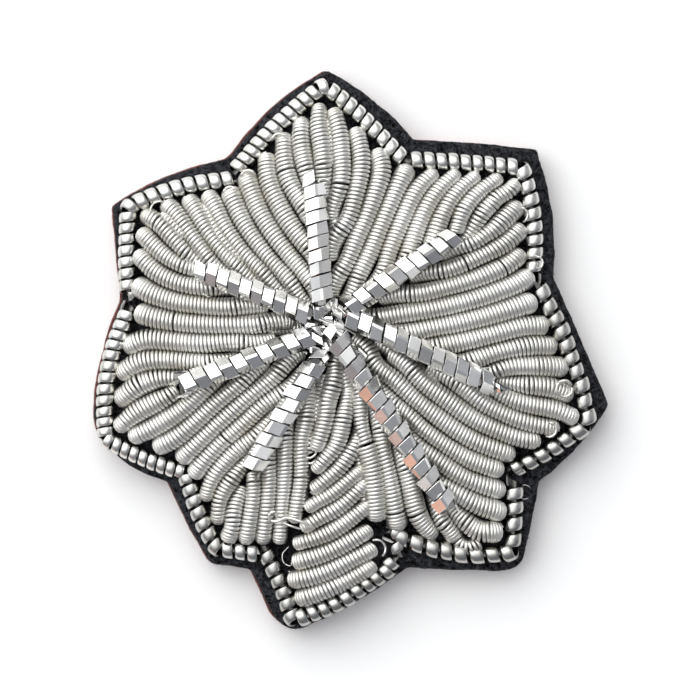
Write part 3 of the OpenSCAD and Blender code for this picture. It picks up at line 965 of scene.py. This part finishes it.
# distance to the corners and depth below the veins in mm, then the two ends, x and y in mm
hub_bits = ((0.5, 0.45, (0.15, 1.3), (0.75, 1.0)), (0.42, 0.35, (0.2, 0.85), (0.5, 0.3)),
            (0.5, 0.5, (-0.75, 0.15), (0.15, 0.0)), (0.45, 0.3, (-0.75, -1.0), (-0.2, -1.25)),
            (0.55, 0.6, (0.0, -0.2), (0.75, -0.6)), (0.5, 0.55, (-0.3, -0.5), (0.1, -1.2)),
            (0.5, 0.75, (1.3, -1.3), (2.0, -2.1)), (0.45, 0.7, (-0.45, -1.6), (-0.1, -2.4)),
            (0.45, 0.7, (-1.55, -1.45), (-0.9, -1.75)), (0.42, 0.6, (-1.5, -0.2), (-0.8, -0.35)),
            (0.5, 0.85, (-0.4, 0.7), (0.3, 0.9)), (0.5, 0.85, (0.6, -0.3), (1.3, -0.75)),
            (0.5, 0.85, (-0.8, -0.45), (0.0, -0.35)), (0.5, 0.85, (-0.3, -1.2), (0.1, -1.9)),
            (0.42, 0.35, (9.0, -3.45), (9.7, -3.85)), (0.3, 0.5, (9.6, -3.7), (10.3, -4.1)),
            (0.36, 0.3, (8.7, -2.85), (9.2, -3.0)), (0.42, 0.3, (-8.4, -3.15), (-9.1, -3.45)),
            (0.34, 0.45, (-8.0, -3.7), (-8.4, -4.2)))
vein_height = sum(line[0].z for line in vein_lines) / len(vein_lines)
pick = random.Random(8)
skin = ([], [], [])
for corner, depth, *places in hub_bits:
    a, b = [Vector((x * mm, y * mm, vein_height - (depth + pick.uniform(-0.1, 0.1)) * mm)) for x, y in places]
    arched = [a, a.lerp(b, 0.5) + Vector((0, 0, 0.05 * mm)), b]
    corners, first, lean = pick.choice((4.5, 5.1, 5.5)), pick.random(), pick.uniform(-14, 14)
    faceted(skin, arched, corner, corners, first, lean, 0.74, pick)
metal_piece("check_hub_ends", skin, mirror_silver, 8)


# Second layer
# Twelve more lengths of the same purl, which lie lower and show between the strands. One ends in loose open
# turns at the tip of the lower right lobe.
def height_of_fill(x, y):
    """Height of the middle of the nearest strands at a place, in metres."""
    nearest, blur = 4, 0.2 * mm
    gaps = sorted(((p.xy - Vector((x, y)) * mm).length, p.z) for line in every_strand for p in line)
    near = gaps[:nearest]
    return sum(z / (d + blur) for d, z in near) / sum(1 / (d + blur) for d, _ in near)


def over_fill(places, above):
    """A line through places on the leaf, x and y in mm, so many mm above the middle of the fill."""
    return [Vector((x * mm, y * mm, height_of_fill(x, y) + above * mm)) for x, y in places]


# radius, length of a turn and depth below the fill in mm, then places from end to end, x and y in mm
second_layer = ((0.5, 0.23, 0.3, ((-0.2, -3.1), (-0.55, -4.8), (-0.85, -6.2))),
                (0.5, 0.23, 0.3, ((0.75, -2.7), (1.0, -3.7), (1.2, -4.9))),
                (0.5, 0.23, 0.3, ((0.1, 8.9), (0.0, 10.4), (-0.2, 12.0))),
                (0.5, 0.23, 0.35, ((6.4, -4.0), (4.6, -2.4), (2.6, -1.1))),
                (0.5, 0.23, 0.12, ((-9.9, 6.3), (-9.1, 5.5), (-8.3, 4.9))),
                (0.5, 0.23, 0.3, ((-3.6, -0.45), (-2.4, -0.4), (-1.4, -0.4))),
                (0.5, 0.23, 0.22, ((-5.0, 3.1), (-5.8, 4.1), (-6.65, 5.4), (-7.4, 7.0))),
                (0.45, 0.3, 0.25, ((-1.0, -6.6), (-1.2, -7.2), (-1.3, -7.8))),
                (0.42, 0.24, 0.4, ((-1.4, -8.5), (-1.55, -9.9), (-1.75, -11.2))),
                (0.42, 0.24, 0.4, ((1.75, -7.6), (1.95, -9.2), (2.15, -11.0))),
                (0.45, 0.23, 0.25, ((0.15, 7.3), (0.3, 5.9), (0.45, 4.6))),
                (0.46, 0.31, 0.1, ((7.2, -12.2), (7.7, -13.1), (8.4, -13.3), (8.9, -12.9))))
pick = random.Random(5)
skin = ([], [], [])
for radius, pitch, depth, places in second_layer:
    path = Line(over_fill(places, -depth), radius * mm, 0.8, 0.8)
    purl_coil(skin, path, pitch * mm, pick.uniform(0, 50), pick.random(), 0.03)
metal_piece("purl_second_layer", skin, smooth_silver, 60)


# Loose wires
# Ends of the silver wire that have sprung out of the coils: arcs over the strand tips, crossed wires over the
# hub and a loop with a straight tail beside the stem.

# thickness of each wire and height above the middle of the fill in mm, then places along it, x and y in mm
loose_wires = [(0.06, 1.35, ((-1.0, 0.3), (-0.2, -0.1), (0.8, -0.4), (1.6, -0.9))),
               (0.06, 1.30, ((-0.6, 0.1), (0.2, -0.35), (1.2, -0.6))),
               (0.06, 1.30, ((-1.3, -0.2), (-0.5, -0.4), (0.6, -0.6), (1.1, -1.2))),
               (0.07, 1.25, ((-0.9, -0.7), (-0.3, -0.75), (0.2, -1.0))),
               (0.06, 1.25, ((0.1, 1.3), (0.5, 0.6), (0.4, -0.2))),
               (0.18, 0.85, ((-1.0, -12.1), (-1.7, -11.75), (-2.5, -11.55), (-3.0, -11.75), (-3.45, -11.7),
                             (-3.5, -11.35), (-3.2, -11.2), (-3.05, -11.5))),
               (0.12, 0.85, ((-1.7, -12.2), (-2.3, -12.0), (-2.9, -11.75))),
               (0.07, -0.2, ((-2.4, -13.3), (-2.75, -13.75), (-2.65, -14.25), (-2.25, -14.4),
                             (-2.2, -14.05))),
               (0.07, -0.1, ((-2.4, -14.75), (-2.1, -14.85), (-2.0, -15.2), (-2.3, -15.35))),
               (0.06, 0.50, ((-7.5, 1.7), (-7.1, 1.4), (-6.8, 1.5)))]
# turns that have sprung out of the ends of the strands: middle x and y and radius in mm, where the arc begins
# and ends in degrees, thickness and height above the middle of the fill in mm
sprung_turns = ((-2.95, 10.55, 0.42, 15, 175, 0.15, 0.45), (-4.75, 8.4, 0.42, 15, 175, 0.16, 0.45),
                (-5.8, 7.45, 0.4, 10, 180, 0.15, 0.45), (-9.95, 6.45, 0.55, 60, 200, 0.13, 0.3),
                (-0.3, 7.9, 0.4, 20, 170, 0.13, 0.5), (13.8, -4.0, 0.47, 30, 370, 0.19, 0.62),
                (12.9, -6.4, 0.42, -110, 100, 0.14, 0.55), (12.15, 3.4, 0.38, -70, 100, 0.12, 0.5),
                (11.2, 6.2, 0.45, -60, 90, 0.13, 0.45), (-1.2, -7.6, 0.45, 190, 350, 0.14, 0.2),
                (-1.15, -7.95, 0.42, 190, 340, 0.14, 0.1), (11.5, -10.1, 0.42, 0, 340, 0.05, -0.9),
                (2.75, -13.4, 0.55, -45, 110, 0.13, 0.5))
arc_parts = 8
for x, y, radius, begin, end, thickness, above in sprung_turns:
    turned = [math.radians(begin + (end - begin) * k / arc_parts) for k in range(arc_parts + 1)]
    arc = [(x + radius * math.cos(a), y + radius * math.sin(a)) for a in turned]
    loose_wires.append((thickness, above, arc))
end_drop = 0.2 * mm
skin = ([], [], [])
for thickness, above, places in loose_wires:
    line = over_fill(places, above)
    line[0].z -= end_drop
    line[-1].z -= end_drop
    before = len(skin[0])
    hair(skin[0], skin[1], smooth_line(line, 0.06 * mm), thickness / 2 * mm, 7, 0)
    skin[2].extend([0.0] * (len(skin[0]) - before))
metal_piece("loose_wires", skin, smooth_silver, 60)
